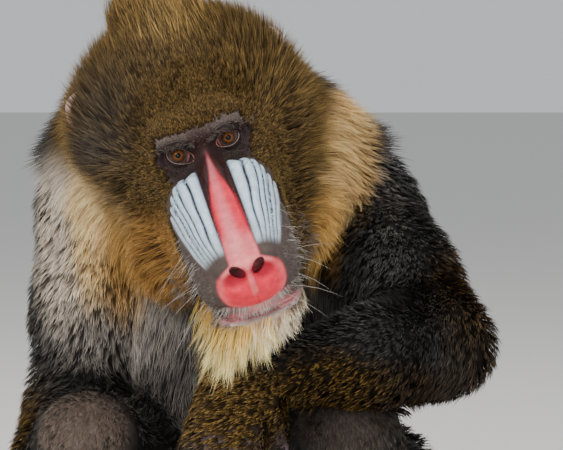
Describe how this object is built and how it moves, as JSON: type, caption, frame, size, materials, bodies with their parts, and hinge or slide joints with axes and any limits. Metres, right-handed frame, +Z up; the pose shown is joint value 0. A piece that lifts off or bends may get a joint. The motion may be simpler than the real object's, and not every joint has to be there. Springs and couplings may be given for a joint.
{
  "type": "seated mandrill model",
  "caption": "Life-size still model of a male mandrill sitting on its haunches, chin on one wrist, the other hand on the floor.",
  "frame": {"origin": "on the floor at the middle of the flat of the seat, below the pelvis", "axes": "+Z up, -Y the way the chest faces, +X the animal's left"},
  "size_m": [0.5192, 0.5399, 0.6937],
  "materials": {
    "coat_head": "matte, olive fur with golden ticks",
    "coat_beard": "matte, golden to cream fur",
    "coat_mane": "matte, long grey and olive fur",
    "coat_body": "matte, charcoal fur with silver tips",
    "coat_rump": "matte, short grey fur",
    "coat_limb": "matte, dark olive fur",
    "skin_nose": "satin, moist red skin",
    "skin_hand": "matte, purplish grey skin",
    "skin_foot": "matte, dark grey skin",
    "skin_ear": "matte, pinkish skin",
    "eye": "clear gloss over an amber iris"
  },
  "bodies": {
    "root": {"head": "coat_head", "jaw": "coat_beard", "nose": "skin_nose", "neck": "coat_mane", "torso": "coat_body", "pelvis": "coat_rump", "tail": "coat_rump", "upper_arm_left": "coat_body", "upper_arm_right": "coat_body", "forearm_left": "coat_limb", "forearm_right": "coat_limb", "hand_left": "skin_hand", "hand_right": "skin_hand", "thigh_left": "coat_limb", "thigh_right": "coat_limb", "shank_left": "coat_limb", "shank_right": "coat_limb", "foot_left": "skin_foot", "foot_right": "skin_foot", "eye_left": "eye", "eye_right": "eye", "ear_left": "skin_ear", "ear_right": "skin_ear"}
  },
  "joints": []
}
